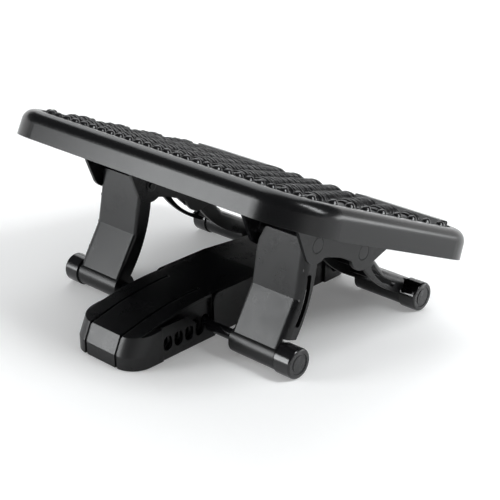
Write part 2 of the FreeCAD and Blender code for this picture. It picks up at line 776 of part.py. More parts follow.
# Base shell: nose, long hollow core, roof lip and slotted plates either side
def makeBase():
    body = newBody("base_shell")
    core = planeSketch(body, "coreProfile", "YZ_Plane")
    outline(core, [("-tailJoin", "floorGap"), (noseRear, "floorGap")] + roofLine("0")
            + [("-tailJoin", "tailRoof")])
    extrude(body, "Pad", core, "coreHalf*2", sides="Symmetric")

    def nosePlan(name, level, front):
        plan = planeSketch(body, name, "XY_Plane", level)
        reach = "(noseReach-%s)" % front
        outline(plan, [("-noseHalf", noseRear), ("noseHalf", noseRear),
                       ("noseHalf", "%s-noseCorner" % reach, "noseCorner", -1),
                       ("noseHalf-noseCorner", reach), ("noseCorner-noseHalf", reach, "noseCorner", -1),
                       ("-noseHalf", "%s-noseCorner" % reach)])
        return plan

    extrude(body, "Pad", nosePlan("noseFoot", "floorGap", "0"), "noseBreak-floorGap")
    lower = nosePlan("noseLower", "noseBreak", "0")
    upper = nosePlan("noseUpper", "noseCrown", "noseLean")
    lean = body.newObject("PartDesign::AdditiveLoft", "noseLeaningFace")
    lean.Profile = lower
    lean.Sections = [upper]
    doc.recompute()
    above = "roofLevel+coreWall"
    past = "noseReach+coreWall"
    tongue = [(noseRear, "roofFront"), ("noseReach", "tongueTip"), (past, "tongueTip"), (past, above),
              (noseRear, above)]
    trim = planeSketch(body, "noseTrim", "YZ_Plane")
    outline(trim, tongue)
    extrude(body, "Pocket", trim, "noseHalf*3", sides="Symmetric")
    fender = [(noseRear, "fenderRear"), ("noseReach", "fenderTip"), (past, "fenderTip"), (past, above),
              (noseRear, above)]
    lip = [(noseRear, "roofFront-lipWall")] + roofLine("0")[:2] + [("roofLevelAt", "roofLevel-lipWall",
                                                                 "roofArc", 1)]
    plate = [(noseRear, "floorGap"), (noseRear, "plateTop"), ("plateTopEnd", "plateTop"),
             ("plateLowAt", "plateLow"), ("roofLevelAt", "plateLow"), ("roofLevelAt", "floorGap")]
    sill = [(noseRear, "floorGap"), (noseRear, "plateSill"), ("roofLevelAt", "plateSill"),
            ("roofLevelAt", "floorGap")]
    for side, hand in ((1, "Right"), (-1, "Left")):
        sidePocket(body, "fender" + hand, side, "lipHalf", "noseHalf+coreWall",
                   lambda s: outline(s, fender))
        sidePad(body, "lip" + hand, side, "coreHalf-coreWall", "lipHalf", lambda s: outline(s, lip))
        sidePad(body, "plate" + hand, side, "plateInner", "plateOuter", lambda s: outline(s, plate))
        sidePad(body, "sill" + hand, side, "coreHalf-coreWall", "plateOuter", lambda s: outline(s, sill))
        grooveBed = [("noseReach-grooveDepth", "0"), ("noseReach-grooveDepth", "noseBreak"),
                     ("noseReach-grooveDepth-noseLean*(tongueTip-noseBreak)/(noseCrown-noseBreak)",
                      "tongueTip"),
                     (noseRear, "roofFront-grooveDepth", "roofArc", -1),
                     ("roofLevelAt", "roofLevel-grooveDepth"), ("roofLevelAt", above),
                     (past, above), (past, "0")]
        sidePocket(body, "groove" + hand, side, "grooveAt-grooveWidth/2", "grooveAt+grooveWidth/2",
                   lambda s: outline(s, grooveBed))
    hollow = planeSketch(body, "coreHollow", "YZ_Plane")
    outline(hollow, [("coreWall-tailJoin", "0"), ("noseReach-noseLean-coreWall", "0"),
                     ("noseReach-noseLean-coreWall", "tongueTip-coreWall-grooveDepth")]
            + roofLine("coreWall+grooveDepth") + [("coreWall-tailJoin", "tailRoof-coreWall-grooveDepth")])
    extrude(body, "Pocket", hollow, "(coreHalf-coreWall)*2", sides="Symmetric")
    notch = planeSketch(body, "notch", "YZ_Plane")
    roundEndedSlot(notch, "barSpan/2", barHeight + "+notchRise/2", "0", "notchRise/2", "(barRadius+barFit)")
    first = extrude(body, "Pocket", notch, "noseHalf*3", sides="Symmetric")
    row = body.newObject("PartDesign::LinearPattern", "notchRow")
    row.Originals = [first]
    row.Direction = (notch, ["H_Axis"])
    bind(row, "Length", "notchPitch*(notchCount-1)")
    bind(row, "Occurrences", "notchCount")
    body.Tip = row
    doc.recompute()
    roofAtNose = "roofFront-(roofFront-tongueTip)*(noseLength-bossNoseInset)/noseLength"
    roofAtRear = "tailRoof+(roofLevel-tailRoof)*(tailJoin-bossRear)/(tailJoin+tailSlopeAt)"
    for name, spot, roof in (("Nose", bossNose, roofAtNose), ("Front", "bossFront", "roofLevel"),
                             ("Rear", "-bossRear", roofAtRear)):
        boss = planeSketch(body, "boss" + name, "XY_Plane", coverTop)
        pilot = planeSketch(body, "pilot" + name, "XY_Plane", coverTop)
        for side in (1, -1):
            circle(boss, negated("bossSide", side), spot, "bossRadius")
            circle(pilot, negated("bossSide", side), spot, "screwRadius+screwFit")
        extrude(body, "Pad", boss, "%s-grooveDepth-coreWall/2-%s" % (roof, coverTop))
        extrude(body, "Pocket", pilot, "screwLength", reverse=True)
    studs = planeSketch(body, "railStudHoles", "YZ_Plane")
    circle(studs, "studFront", "studHeight", "studRadius+studFit")
    circle(studs, "-studRear", "studHeight", "studRadius+studFit")
    extrude(body, "Pocket", studs, "noseHalf*3", sides="Symmetric")
    tailStuds = planeSketch(body, "tailStudHoles", "XZ_Plane", "tailJoin-coreWall*2")
    for side in (1, -1):
        circle(tailStuds, negated("tailStudSide", side), "studHeight", "studRadius+studFit")
    extrude(body, "Pocket", tailStuds, "coreWall*3", reverse=True)
    return body


# Side rail: plain wall with a rounded, slit front end and two studs into the core
def makeRail(label, side):
    body = newBody(label)
    front = "(roofLevelAt-railGap)"
    wall = [("-tailJoin", "floorGap"), (front, "floorGap"),
            (front, "roofLevel-railCorner", "railCorner", -1), (front + "-railCorner", "roofLevel"),
            ("tailSlopeAt", "roofLevel"), ("-tailJoin", "tailRoof")]
    sidePad(body, label + "Wall", side, "coreHalf", "coreHalf+railWall", lambda s: outline(s, wall))
    sidePocket(body, label + "Slit", side, "coreHalf+(railWall-railSlit)/2",
               "coreHalf+(railWall+railSlit)/2",
               lambda s: rectangle(s, front + "-railSlitDepth", front + "+railGap", "railSill",
                                   "roofLevel+railGap"))

    def studs(sketch):
        circle(sketch, "studFront", "studHeight", "studRadius")
        circle(sketch, "-studRear", "studHeight", "studRadius")

    sidePad(body, label + "Studs", side, "coreHalf-coreWall", "coreHalf+railWall/2", studs)
    return body


# Tail: hollow rounded block whose sleeve lets the heel bar float
def makeTail():
    body = newBody("tail_saddle")
    plan = planeSketch(body, "tailPlan", "XY_Plane", "floorGap")
    outline(plan, [("-tailHalf", "-tailJoin"),
                   ("-tailHalf", "tailCorner-tailReach", "tailCorner", -1),
                   ("tailCorner-tailHalf", "-tailReach"),
                   ("tailHalf-tailCorner", "-tailReach", "tailCorner", -1),
                   ("tailHalf", "tailCorner-tailReach"), ("tailHalf", "-tailJoin")])
    block = extrude(body, "Pad", plan, "tailTop-floorGap")
    top = number("tailTop")
    edges = edgesWhere(block, lambda e: abs(e.BoundBox.ZMin - top) < 1e-4
                       and e.CenterOfMass.y < -number("tailJoin") - 1e-3)
    edgeBlend(body, "Fillet", block, edges, "tailEdge", "tailTopEdge")
    hollow = planeSketch(body, "tailHollow", "XY_Plane")
    rectangle(hollow, "tailWall-tailHalf", "tailHalf-tailWall", "tailWall*2-tailReach", "-tailJoin-tailWall")
    extrude(body, "Pocket", hollow, "tailTop-tailWall", reverse=True)

    def sleeve(sketch, wall):
        roundEndedSlot(sketch, "-barSpan/2", barHeight, "(tailPlay-tailRise)", "0",
                       "(barRadius+tailRise%s)" % wall)

    outer = planeSketch(body, "tailSleeve", "YZ_Plane")
    sleeve(outer, "+tailSleeve")
    extrude(body, "Pad", outer, "(tailHalf-tailWall/2)*2", sides="Symmetric")
    slot = planeSketch(body, "tailSlot", "YZ_Plane")
    sleeve(slot, "")
    extrude(body, "Pocket", slot, "tailHalf*3", sides="Symmetric")
    studs = planeSketch(body, "tailStuds", "XZ_Plane", "tailJoin-coreWall")
    for side in (1, -1):
        circle(studs, negated("tailStudSide", side), "studHeight", "studRadius")
    extrude(body, "Pad", studs, "coreWall+tailWall/2")
    return body


padRows = ["(noseReach-nosePadInset)", "0", "-tailPadAt"]


def padOutlines(sketch, gap):
    for row in padRows:
        outline(sketch, [("-padSide-(%s)" % gap, "%s-padWidth/2-(%s)" % (row, gap)),
                         ("padSide+(%s)" % gap, "%s-padWidth/2-(%s)" % (row, gap)),
                         ("padSide+(%s)" % gap, "%s+padWidth/2+(%s)" % (row, gap)),
                         ("-padSide-(%s)" % gap, "%s+padWidth/2+(%s)" % (row, gap))])


# Cover plate under the core, with seats for the rubber strips and the screw heads
def makeCover():
    body = newBody("bottom_cover")
    plan = planeSketch(body, "coverPlan", "XY_Plane", "floorGap")
    rectangle(plan, "-(coreHalf-coreWall-coverGap)", "coreHalf-coreWall-coverGap",
              "coreWall+coverGap-tailJoin", "noseReach-noseLean-coreWall-coverGap")
    extrude(body, "Pad", plan, "coverWall")
    seats = planeSketch(body, "padSeats", "XY_Plane", "floorGap")
    padOutlines(seats, "padGap")
    extrude(body, "Pocket", seats, "padSeat", reverse=True)
    holes = planeSketch(body, "coverHoles", "XY_Plane")
    heads = planeSketch(body, "coverHeads", "XY_Plane", "floorGap")
    for x, y in coverScrewSpots():
        circle(holes, x, y, "screwHole")
        circle(heads, x, y, "screwHeadRadius+screwHeadFit")
    extrude(body, "Pocket", holes, "coverWall*2", reverse=True)
    extrude(body, "Pocket", heads, "screwHeadHeight", reverse=True)
    return body


def makePads():
    strips = []
    for row in padRows:
        strip = doc.addObject("Part::Box", "basePad%d" % len(strips))
        bind(strip, "Length", "padSide*2")
        bind(strip, "Width", "padWidth")
        bind(strip, "Height", "floorGap+padSeat")
        bind(strip, "Placement.Base.x", "-padSide")
        bind(strip, "Placement.Base.y", "%s-padWidth/2" % row)
        strips.append(strip)
    return makeGroup("base_pads", strips)


nodes = [makeBase(), makeCover(), makePads(), makeScrews("cover_screws", coverScrewSpots(), "floorGap"),
         makeRail("left_side_rail", -1), makeRail("right_side_rail", 1), makeTail(),
         makeBar("toe_bar", toeBar), makeBar("heel_bar", heelBar)]
for side, hand in ((-1, "left"), (1, "right")):
    nodes.append(makeLeg(hand + "_toe_leg", "toeLegLength", 1, side, toePivot, toeBar))
    nodes.append(makeLeg(hand + "_heel_leg", "heelLegLength", -1, side, heelPivot, heelBar))
    nodes.append(makeFoot(hand + "_toe_foot", toeBar, side))
    nodes.append(makeFoot(hand + "_heel_foot", heelBar, side))
    nodes.append(makeBracket(hand + "_bracket", side))
    nodes.append(makePin(hand + "_toe_pin", toePivot, side))
    nodes.append(makePin(hand + "_heel_pin", heelPivot, side))
nodes.append(makeTray())
nodes.append(makeMat())
bracketScrews = makeScrews("bracket_screws", bothSideSpots, "roofTop-roofWall-screwHeadHeight")
bracketScrews.Placement = trayPlace
nodes.append(bracketScrews)
nodes.append(makeRings("pin_clips", "clipRadius", "pinRadius-clipGrooveDepth+pinFit",
                       "cheekInner-clipFit-clipThickness", "clipThickness"))
nodes.append(makeRings("pivot_washers", "washerRadius", "pinRadius+pinFit",
                       "cheekInner+cheekWall+washerGap", "washerThickness"))
doc.recompute()

for item in doc.Objects:
    if "Invalid" in item.State or "Error" in item.State:
        raise RuntimeError("%s did not compute" % item.Name)
for node in nodes:
    if node.Shape.isNull() or not node.Shape.isValid():
        raise RuntimeError("%s has no valid shape" % node.Label)

os.makedirs("parts", exist_ok=True)
for node in nodes:
    node.Shape.exportStep("parts/%s.step" % node.Label)
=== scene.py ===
import bpy
import json
import math
import numpy as np
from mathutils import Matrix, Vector


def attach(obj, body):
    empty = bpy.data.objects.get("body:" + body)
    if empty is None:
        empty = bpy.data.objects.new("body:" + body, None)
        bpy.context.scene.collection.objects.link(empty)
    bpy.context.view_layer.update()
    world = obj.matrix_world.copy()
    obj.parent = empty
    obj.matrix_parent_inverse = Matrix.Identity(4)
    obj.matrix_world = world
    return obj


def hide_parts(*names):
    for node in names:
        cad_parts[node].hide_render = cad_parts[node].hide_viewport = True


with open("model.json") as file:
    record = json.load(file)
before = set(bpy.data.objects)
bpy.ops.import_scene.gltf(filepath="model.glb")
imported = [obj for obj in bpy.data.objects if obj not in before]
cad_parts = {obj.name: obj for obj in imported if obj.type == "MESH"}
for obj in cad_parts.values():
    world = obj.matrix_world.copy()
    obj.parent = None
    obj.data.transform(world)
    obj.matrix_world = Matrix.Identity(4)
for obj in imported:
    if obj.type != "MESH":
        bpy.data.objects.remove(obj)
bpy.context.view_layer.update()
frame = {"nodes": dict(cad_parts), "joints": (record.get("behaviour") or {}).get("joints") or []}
scene = bpy.context.scene
print("frame loaded:", len(frame["nodes"]), "nodes")


def aimAlong(thing, direction):
    # cameras and lamps look down their own -Z
    thing.rotation_mode = "QUATERNION"
    thing.rotation_quaternion = direction.to_track_quat("-Z", "Y")


# camera: raised in front of the toe edge and to its left, looking down on the tray
cameraSpec = dict(place=(-0.9016, 0.9592, 0.6433), yaw=42.960, pitch=24.065, lens=91.595,
                  clipStart=0.05, clipEnd=50.0)


def makeCamera():
    data = bpy.data.cameras.new("camera")
    camera = bpy.data.objects.new("camera", data)
    scene.collection.objects.link(camera)
    yaw, pitch = math.radians(cameraSpec["yaw"]), math.radians(cameraSpec["pitch"])
    level = math.cos(pitch)
    aimAlong(camera, Vector((math.sin(yaw) * level, -math.cos(yaw) * level, -math.sin(pitch))))
    camera.location = cameraSpec["place"]
    data.lens = cameraSpec["lens"]
    data.clip_start, data.clip_end = cameraSpec["clipStart"], cameraSpec["clipEnd"]
    scene.camera = camera


makeCamera()
scene.view_settings.view_transform = "Standard"
print("camera set")


# shader helpers
def makeGroup(name, inputs, outputs):
    group = bpy.data.node_groups.new(name, "ShaderNodeTree")
    for label, kind, value in inputs:
        socket = group.interface.new_socket(name=label, in_out="INPUT", socket_type=kind)
        socket.default_value = value
    for label, kind in outputs:
        group.interface.new_socket(name=label, in_out="OUTPUT", socket_type=kind)
    return group, group.nodes.new("NodeGroupInput"), group.nodes.new("NodeGroupOutput")


def addNode(tree, kind, **settings):
    node = tree.nodes.new(kind)
    for key, value in settings.items():
        setattr(node, key, value)
    return node


def mathNode(tree, operation, first, second=None, clamp=False):
    node = addNode(tree, "ShaderNodeMath", operation=operation, use_clamp=clamp)
    for socket, value in zip(node.inputs, (first, second)):
        if isinstance(value, (int, float)):
            socket.default_value = value
        elif value is not None:
            tree.links.new(value, socket)
    return node.outputs[0]


def objectNoise(tree, size, detail):
    # noise of one size in metres, read from a socket
    coords = addNode(tree, "ShaderNodeTexCoord")
    noise = addNode(tree, "ShaderNodeTexNoise", noise_dimensions="3D")
    noise.inputs["Detail"].default_value = detail
    tree.links.new(coords.outputs["Object"], noise.inputs["Vector"])
    tree.links.new(mathNode(tree, "DIVIDE", 1.0, size), noise.inputs["Scale"])
    return noise.outputs["Fac"]


def swingAbout(tree, noise, amount):
    # (noise - 0.5) * amount, so that the mean stays
    return mathNode(tree, "MULTIPLY", mathNode(tree, "SUBTRACT", noise, 0.5), amount)


skinSpec = dict(grainDetail=2.0, grainSwing=0.12, blotchDetail=3.0, tintSwing=1.6)


# mouldedSkin: fine spark grain and slow blotches on moulded plastic or rubber.
# Height is the grain for a Bump node, Roughness and Colour drift with the blotches
def makeMouldedSkin():
    group, start, end = makeGroup(
        "mouldedSkin",
        [("Colour", "NodeSocketColor", (0.03, 0.03, 0.03, 1)), ("Roughness", "NodeSocketFloat", 0.4),
         ("Grain Size", "NodeSocketFloat", 0.0008), ("Blotch Size", "NodeSocketFloat", 0.05),
         ("Drift", "NodeSocketFloat", 0.15)],
        [("Colour", "NodeSocketColor"), ("Roughness", "NodeSocketFloat"), ("Height", "NodeSocketFloat")])
    grain = objectNoise(group, start.outputs["Grain Size"], skinSpec["grainDetail"])
    blotch = objectNoise(group, start.outputs["Blotch Size"], skinSpec["blotchDetail"])
    drift = swingAbout(group, blotch, start.outputs["Drift"])
    rough = mathNode(group, "ADD", start.outputs["Roughness"], drift)
    rough = mathNode(group, "ADD", rough, swingAbout(group, grain, skinSpec["grainSwing"]))
    # colour times 1 + drift * tintSwing
    shade = mathNode(group, "ADD", 1.0, mathNode(group, "MULTIPLY", drift, skinSpec["tintSwing"]))
    grey = addNode(group, "ShaderNodeCombineColor")
    for channel in ("Red", "Green", "Blue"):
        group.links.new(shade, grey.inputs[channel])
    tint = addNode(group, "ShaderNodeMix", data_type="RGBA", blend_type="MULTIPLY")
    tint.inputs["Factor"].default_value = 1.0
    group.links.new(start.outputs["Colour"], tint.inputs["A"])
    group.links.new(grey.outputs["Color"], tint.inputs["B"])
    group.links.new(tint.outputs["Result"], end.inputs["Colour"])
    group.links.new(rough, end.inputs["Roughness"])
    group.links.new(grain, end.inputs["Height"])
    return group


edgeSpec = dict(radius=0.0012, samples=4, gain=4.0, patchDetail=2.0)


# rubbedEdge: 1 on sharp outer edges and 0 on flats, broken up by patches.
# Mask = gain * (1 - rounded normal . true normal) * patch * strength
def makeRubbedEdge():
    group, start, end = makeGroup(
        "rubbedEdge",
        [("Strength", "NodeSocketFloat", 0.5), ("Patch Size", "NodeSocketFloat", 0.01)],
        [("Mask", "NodeSocketFloat")])
    rounded = addNode(group, "ShaderNodeBevel", samples=edgeSpec["samples"])
    rounded.inputs["Radius"].default_value = edgeSpec["radius"]
    geometry = addNode(group, "ShaderNodeNewGeometry")
    dot = addNode(group, "ShaderNodeVectorMath", operation="DOT_PRODUCT")
    group.links.new(rounded.outputs["Normal"], dot.inputs[0])
    group.links.new(geometry.outputs["Normal"], dot.inputs[1])
    bend = mathNode(group, "MULTIPLY", mathNode(group, "SUBTRACT", 1.0, dot.outputs["Value"]),
                    edgeSpec["gain"])
    patch = objectNoise(group, start.outputs["Patch Size"], edgeSpec["patchDetail"])
    broken = mathNode(group, "MULTIPLY", bend, patch)
    mask = mathNode(group, "MULTIPLY", broken, start.outputs["Strength"], clamp=True)
    group.links.new(mask, end.inputs["Mask"])
    return group


mouldedSkin = makeMouldedSkin()
rubbedEdge = makeRubbedEdge()

# what a finish has where its own line below says nothing else
plainFinish = dict(blotch=0.05, drift=0.12, specular=0.5, bump=0.25, relief=0.3, soften=0.0006,
                   softSamples=6, wear=0.4, wearPatch=0.008, wornGain=2.6, wornLift=0.02)
finishSpecs = {
    "bodyPlastic": dict(colour=(0.0052, 0.0054, 0.0060), roughness=0.30, grain=0.0007, bump=0.20,
                        wear=0.2, specular=0.34, drift=0.18, blotch=0.03),
    "trayPlastic": dict(colour=(0.0055, 0.0057, 0.0062), roughness=0.24, grain=0.0006, bump=0.10,
                        wear=0.15, specular=0.34, drift=0.06),
    "footRubber": dict(colour=(0.008, 0.008, 0.009), roughness=0.17, grain=0.0005, bump=0.06, wear=0.2),
    "padRubber": dict(colour=(0.018, 0.018, 0.018), roughness=0.75, grain=0.0009, bump=0.4),
    "barPaint": dict(colour=(0.010, 0.010, 0.012), roughness=0.24, grain=0.0004, bump=0.06),
    "pinPlastic": dict(colour=(0.007, 0.007, 0.008), roughness=0.36, grain=0.0006, bump=0.15,
                       specular=0.4),
    "clipSteel": dict(colour=(0.012, 0.012, 0.013), roughness=0.35, grain=0.0004, bump=0.05),
    "matRubber": dict(colour=(0.007, 0.007, 0.008), roughness=0.22, grain=0.0008, bump=0.08, wear=0.1),
}


# A moulded finish: the skin goes into the shader, lighter where edges are rubbed
def mouldedFinish(name, own):
    spec = {**plainFinish, **own}
    material = bpy.data.materials.new(name)
    material.use_nodes = True
    tree = material.node_tree
    shader = tree.nodes["Principled BSDF"]
    skin = addNode(tree, "ShaderNodeGroup", node_tree=mouldedSkin)
    skin.inputs["Colour"].default_value = (*spec["colour"], 1)
    skin.inputs["Roughness"].default_value = spec["roughness"]
    skin.inputs["Grain Size"].default_value = spec["grain"]
    skin.inputs["Blotch Size"].default_value = spec["blotch"]
    skin.inputs["Drift"].default_value = spec["drift"]
    edge = addNode(tree, "ShaderNodeGroup", node_tree=rubbedEdge)
    edge.inputs["Strength"].default_value = spec["wear"]
    edge.inputs["Patch Size"].default_value = spec["wearPatch"]
    worn = [min(1, c * spec["wornGain"] + spec["wornLift"]) for c in spec["colour"]]
    lift = addNode(tree, "ShaderNodeMix", data_type="RGBA")
    tree.links.new(edge.outputs["Mask"], lift.inputs["Factor"])
    tree.links.new(skin.outputs["Colour"], lift.inputs["A"])
    lift.inputs["B"].default_value = (*worn, 1)
    tree.links.new(lift.outputs["Result"], shader.inputs["Base Color"])
    tree.links.new(skin.outputs["Roughness"], shader.inputs["Roughness"])
    shader.inputs["Specular IOR Level"].default_value = spec["specular"]
    soft = addNode(tree, "ShaderNodeBevel", name="softEdges", samples=spec["softSamples"])
    soft.inputs["Radius"].default_value = spec["soften"]
    grain = addNode(tree, "ShaderNodeBump", name="grain")
    grain.inputs["Strength"].default_value = spec["bump"]
    grain.inputs["Distance"].default_value = spec["grain"] * spec["relief"]
    tree.links.new(skin.outputs["Height"], grain.inputs["Height"])
    tree.links.new(soft.outputs["Normal"], grain.inputs["Normal"])
    tree.links.new(grain.outputs["Normal"], shader.inputs["Normal"])
    return material


platedSpec = dict(colour=(0.55, 0.56, 0.58), roughness=0.32, grain=0.0003, blotch=0.004)


# Zinc plated steel of the screws
def platedFinish(name, spec):
    material = bpy.data.materials.new(name)
    material.use_nodes = True
    tree = material.node_tree
    shader = tree.nodes["Principled BSDF"]
    skin = addNode(tree, "ShaderNodeGroup", node_tree=mouldedSkin)
    skin.inputs["Colour"].default_value = (*spec["colour"], 1)
    skin.inputs["Roughness"].default_value = spec["roughness"]
    skin.inputs["Grain Size"].default_value = spec["grain"]
    skin.inputs["Blotch Size"].default_value = spec["blotch"]
    tree.links.new(skin.outputs["Colour"], shader.inputs["Base Color"])
    tree.links.new(skin.outputs["Roughness"], shader.inputs["Roughness"])
    shader.inputs["Metallic"].default_value = 1.0
    return material


def reliefUnderGrain(tree, height, depth):
    # a coarser relief that takes the place of the soft edges below the grain
    relief = addNode(tree, "ShaderNodeBump")
    relief.inputs["Distance"].default_value = depth
    tree.links.new(height, relief.inputs["Height"])
    tree.nodes.remove(tree.nodes["softEdges"])
    tree.links.new(relief.outputs["Normal"], tree.nodes["grain"].inputs["Normal"])


def waveOf(tree, place, period):
    # cos(2 pi place / period)
    return mathNode(tree, "COSINE", mathNode(tree, "MULTIPLY", place, 2 * math.pi / period))


# The mat's fine ridges on its humps: height = cos(2 pi v / period), from the mat's own attributes
def ridgeTheMat(material, period, depth):
    tree = material.node_tree
    reach = addNode(tree, "ShaderNodeAttribute", attribute_name="ridgeReach")
    mask = addNode(tree, "ShaderNodeAttribute", attribute_name="ridgeMask")
    ridges = mathNode(tree, "MULTIPLY", waveOf(tree, reach.outputs["Fac"], period), mask.outputs["Fac"])
    reliefUnderGrain(tree, ridges, depth)


# the bars' axes stand this far before and behind the origin and above the floor
turnedSpec = dict(axisReach=0.1048, axisHeight=0.0166, period=0.0011, depth=0.00007, facing=0.9)


# Turned end faces of the feet: height = cos(2 pi * distance from the bar's axis / period),
# where the normal runs along the bar
def turnTheFeet(material, spec):
    tree = material.node_tree
    coords = addNode(tree, "ShaderNodeTexCoord")
    place = addNode(tree, "ShaderNodeSeparateXYZ")
    tree.links.new(coords.outputs["Object"], place.inputs[0])
    along = mathNode(tree, "SUBTRACT", mathNode(tree, "ABSOLUTE", place.outputs["Y"]), spec["axisReach"])
    above = mathNode(tree, "SUBTRACT", place.outputs["Z"], spec["axisHeight"])
    squares = mathNode(tree, "ADD", mathNode(tree, "MULTIPLY", along, along),
                       mathNode(tree, "MULTIPLY", above, above))
    rings = waveOf(tree, mathNode(tree, "SQRT", squares), spec["period"])
    normal = addNode(tree, "ShaderNodeSeparateXYZ")
    tree.links.new(coords.outputs["Normal"], normal.inputs[0])
    sideways = mathNode(tree, "ABSOLUTE", normal.outputs["X"])
    onEnd = mathNode(tree, "GREATER_THAN", sideways, spec["facing"])
    reliefUnderGrain(tree, mathNode(tree, "MULTIPLY", rings, onEnd), spec["depth"])


finishes = {name: mouldedFinish(name, spec) for name, spec in finishSpecs.items()}
finishes["platedSteel"] = platedFinish("platedSteel", platedSpec)
turnTheFeet(finishes["footRubber"], turnedSpec)

finishOfNode = {"foot_tray": "trayPlastic", "base_pads": "padRubber", "toe_bar": "barPaint",
                "heel_bar": "barPaint", "cover_screws": "platedSteel", "bracket_screws": "platedSteel",
                "pin_clips": "clipSteel", "pivot_washers": "pinPlastic", "massage_mat": "matRubber"}
finishOfEnding = {"_foot": "footRubber", "_pin": "pinPlastic"}
for name, node in frame["nodes"].items():
    finish = finishOfNode.get(name, "bodyPlastic")
    for ending, other in finishOfEnding.items():
        if name.endswith(ending):
            finish = other
    node.data.materials.clear()
    node.data.materials.append(finishes[finish])
print("finishes on the CAD nodes")

# the tray's frame: u across, v towards the toe edge, w square to the rim plane
traySpec = dict(tilt=23.25, pivotShift=0.048, pivotDrop=0.0165, width=0.446, length=0.336)
tilt = math.radians(traySpec["tilt"])
toePivot = next(j["pos_m"] for j in frame["joints"] if j["name"] == "platform_tilt")
trayU = np.array((1.0, 0.0, 0.0))
trayV = np.array((0.0, math.cos(tilt), math.sin(tilt)))
trayW = np.array((0.0, -math.sin(tilt), math.cos(tilt)))
trayCentre = np.array(toePivot) - traySpec["pivotShift"] * trayV + traySpec["pivotDrop"] * trayW


def trayPoint(u, v, w):
    # place = centre + u * across + v * towards the toe edge + w * square to the rim
    return trayCentre + u[..., None] * trayU + v[..., None] * trayV + w[..., None] * trayW


def putMesh(name, points, faces, finish, body):
    mesh = bpy.data.meshes.new(name)
    mesh.from_pydata(points.tolist(), [], faces)
    mesh.update()
    mesh.polygons.foreach_set("use_smooth", np.ones(len(mesh.polygons), dtype=bool))
    mesh.materials.append(finishes[finish])
    thing = bpy.data.objects.new(name, mesh)
    scene.collection.objects.link(thing)
    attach(thing, body)
    return thing


def slabFaces(rows, columns):
    # point number = row * columns + column, then the rim once more in order as the lower edge:
    # quads on top, a skirt from the rim to the lower edge, and one face below
    index = np.arange(rows * columns).reshape(rows, columns)
    quads = np.stack((index[:-1, :-1], index[:-1, 1:], index[1:, 1:], index[1:, :-1]), axis=-1)
    rim = np.concatenate((index[0, :], index[1:, -1], index[-1, -2::-1], index[-2:0:-1, 0]))
    low = rows * columns + np.arange(len(rim))
    skirt = np.stack((rim, low, np.roll(low, -1), np.roll(rim, -1)), axis=-1)
    return quads.reshape(-1, 4).tolist() + skirt.tolist() + [low[::-1].tolist()], rim


# the massage mat, in metres, with u and v from the tray's middle
matSpec = dict(
    inset=0.020, corner=0.043, seat=0.024, thickness=0.0046,  # a slab with round corners in the tray
    rows=330, columns=296,  # points of its top
    lipWidth=0.0018, lipShare=0.4, fadeWidth=0.002,  # its rounded lip, and where the relief fades out
    humpPitch=0.0285, humpBase=0.0150, humpHeight=0.0080,
    firstRow=-0.112, humpRows=9, humpReach=0.181,
    cornerFrom=(0.150, 0.094), cornerHumps=0.040,  # how far the humps go into the corners
    ridgePeriod=0.0046, ridgeDepth=0.00045, ridgeFade=0.003,
    beadRadius=0.0056, beadHeight=0.0066, beadPitch=0.01425,
    beadReach=0.1915, sideBeads=(-4, 3),  # beads along the sides, at every second pitch
    toeReach=0.1395, toeBeads=11,  # beads to either side of the middle of the toe edge
    turnCentre=(0.160, 0.108), turnRadius=0.0315, turnAngles=(0.35, 1.22), turnBeads=3,
    stripInset=0.004, stripWidth=0.022, stripHeight=0.0068, stripHalf=0.186, stripGap=0.068)


def cornerRoom(u, v, halfU, halfV, corner):
    # distance in from a rounded rectangle: corner - length(outer part) - the inner part
    cornerU, cornerV = np.abs(u) - (halfU - corner), np.abs(v) - (halfV - corner)
    outside = np.hypot(np.maximum(cornerU, 0), np.maximum(cornerV, 0))
    return corner - outside - np.minimum(np.maximum(cornerU, cornerV), 0)


def humpCaps(u, v, s):
    # caps of a ball, rows set off by half a pitch: height = sqrt(R^2 - away^2) - (R - h),
    # and the ridges' mask, which fades to 0 at the caps' edge
    pitch = s["humpPitch"]
    ball = (s["humpBase"] ** 2 + s["humpHeight"] ** 2) / (2 * s["humpHeight"])
    cornerU, cornerV = s["cornerFrom"]
    away = np.full_like(u, np.inf)
    for step in (-1, 0, 1):
        row = np.clip(np.round((v - s["firstRow"]) / pitch) + step, 0, s["humpRows"] - 1)
        shift = np.where(row % 2 == 0, 0.5, 0.0)
        centreU = (np.round(u / pitch - shift) + shift) * pitch
        centreV = s["firstRow"] + row * pitch
        intoCorner = np.hypot(np.maximum(np.abs(centreU) - cornerU, 0),
                              np.maximum(np.abs(centreV) - cornerV, 0))
        kept = (np.abs(centreU) < s["humpReach"]) & (intoCorner < s["cornerHumps"])
        # the heel row only spans the gap between the two strips
        kept &= (row > 0) | (np.abs(centreU) < s["stripGap"])
        away = np.where(kept, np.minimum(away, np.hypot(u - centreU, v - centreV)), away)
    caps = np.sqrt(np.maximum(ball ** 2 - away ** 2, 0)) - ball + s["humpHeight"]
    return np.maximum(caps, 0), np.clip((s["humpBase"] - away) / s["ridgeFade"], 0, 1)


